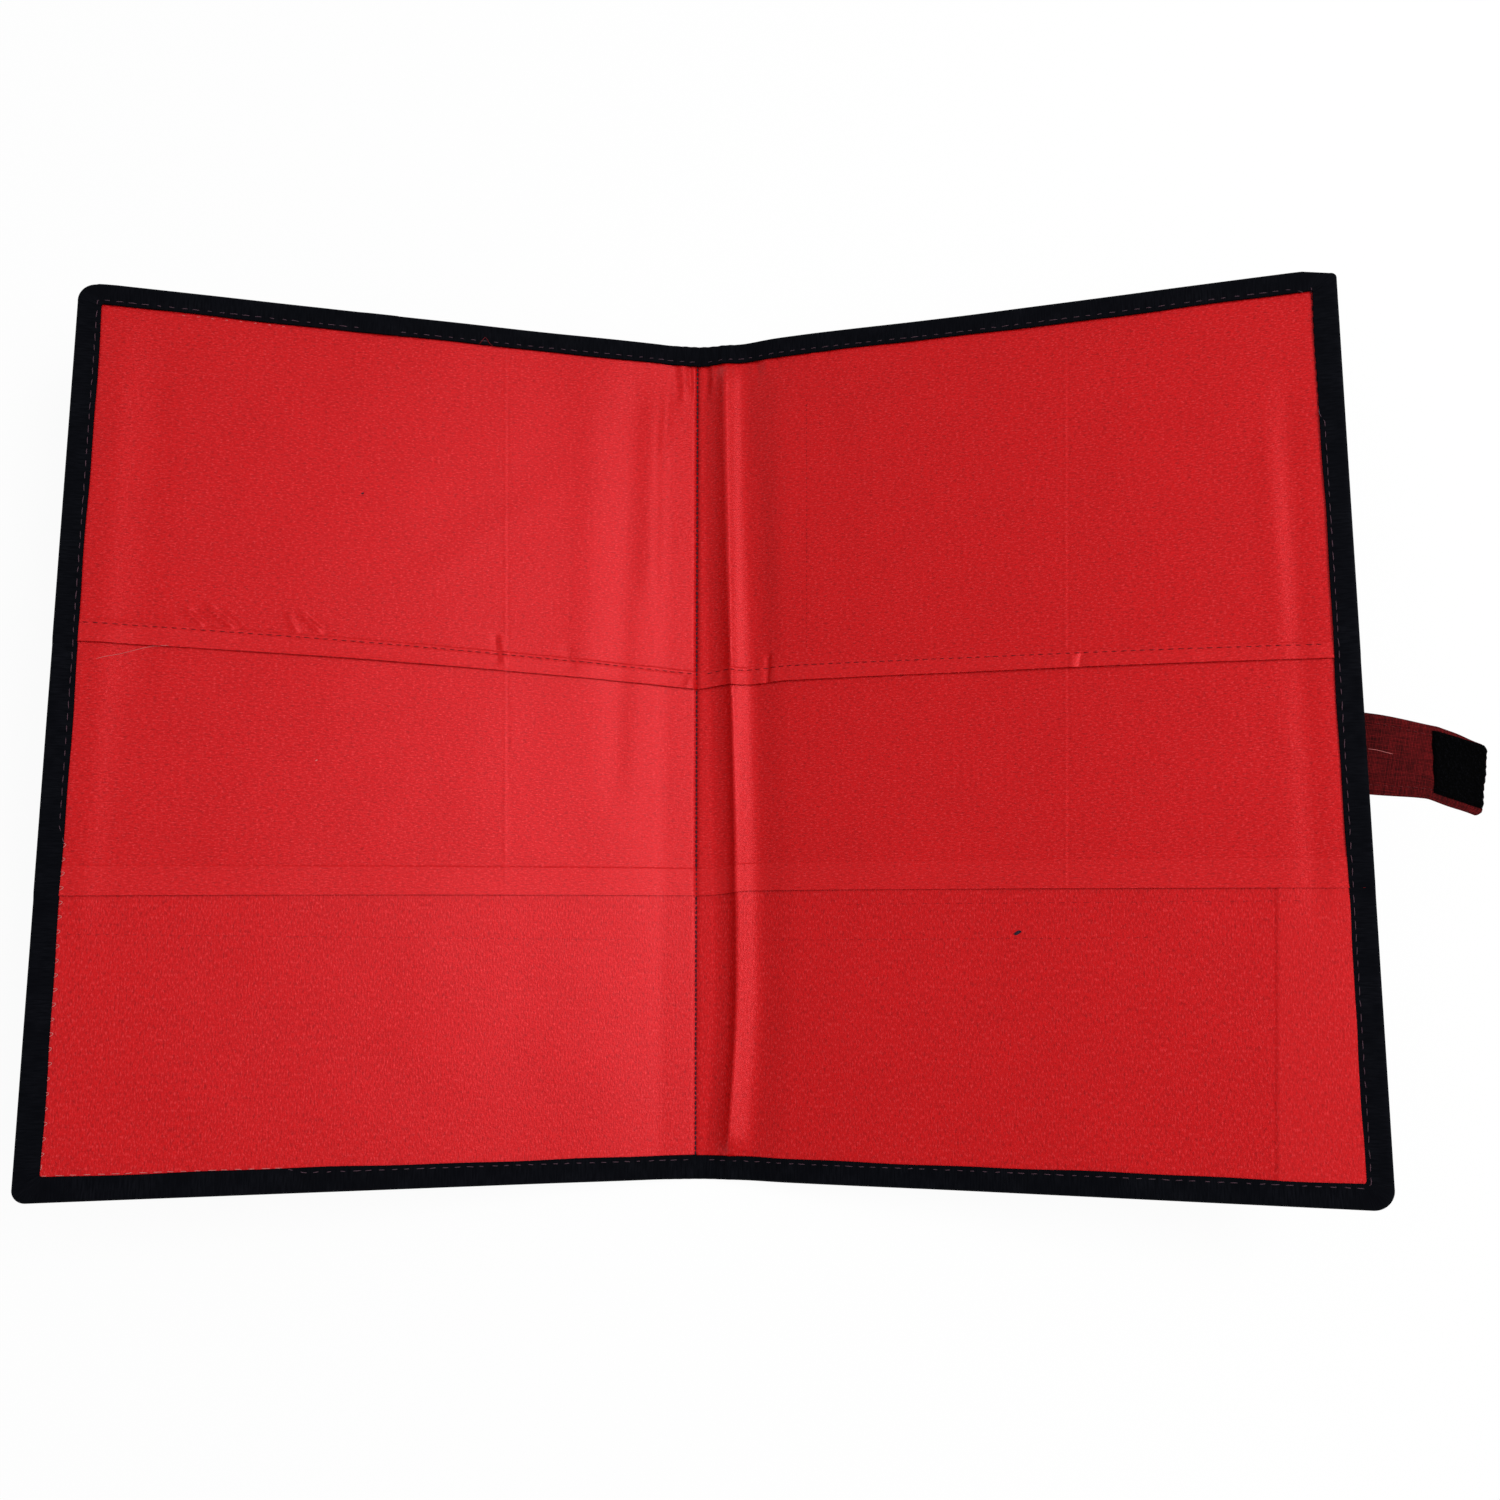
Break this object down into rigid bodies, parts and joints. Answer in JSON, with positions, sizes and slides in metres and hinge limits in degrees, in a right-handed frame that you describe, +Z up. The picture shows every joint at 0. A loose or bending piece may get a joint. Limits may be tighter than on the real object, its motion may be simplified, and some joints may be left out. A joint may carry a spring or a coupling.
{
  "type": "cloth file folder",
  "caption": "Open cloth file folder with two stiff covers on a soft spine, two tiers of pockets, bound edges and a strap with a touch fastener.",
  "frame": {"origin": "middle of the spine's underside, where the folder rests on a table", "axes": "+X across the folder towards the cover with the strap, +Y along the spine towards the closed end of the pockets, +Z up"},
  "size_m": [0.5415, 0.35, 0.074],
  "materials": {
    "outer_cloth": "dull plain weave, dyed dark red",
    "cover_board": "plain grey board, uncoated",
    "red_lining": "soft sheen, fine satin weave",
    "binding_tape": "dull ribbed tape",
    "touch_fastener": "dull hook and loop pile"
  },
  "bodies": {
    "spine": {"spine_cloth": "outer_cloth", "spine_lining": "red_lining", "spine_long_pocket": "red_lining", "spine_short_pocket": "red_lining", "spine_head_binding": "binding_tape", "spine_foot_binding": "binding_tape"},
    "left_cover": {"left_cover_cloth": "outer_cloth", "left_cover_board": "cover_board", "left_lining": "red_lining", "left_long_pocket": "red_lining", "left_short_pocket": "red_lining", "left_binding": "binding_tape", "loop_patch": "touch_fastener"},
    "right_cover": {"right_cover_cloth": "outer_cloth", "right_cover_board": "cover_board", "right_lining": "red_lining", "right_long_pocket": "red_lining", "right_short_pocket": "red_lining", "right_binding": "binding_tape", "strap": "outer_cloth", "hook_patch": "touch_fastener"}
  },
  "joints": [
    {"name": "left_cover_hinge", "type": "hinge", "parent": "spine", "child": "left_cover", "pos_m": [-0.015, 0, 0.0041], "axis": [0, 1, 0], "range_deg": [-15, 74.3]},
    {"name": "right_cover_hinge", "type": "hinge", "parent": "spine", "child": "right_cover", "pos_m": [0.015, 0, 0.0041], "axis": [0, -1, 0], "range_deg": [-15, 74.3]}
  ]
}
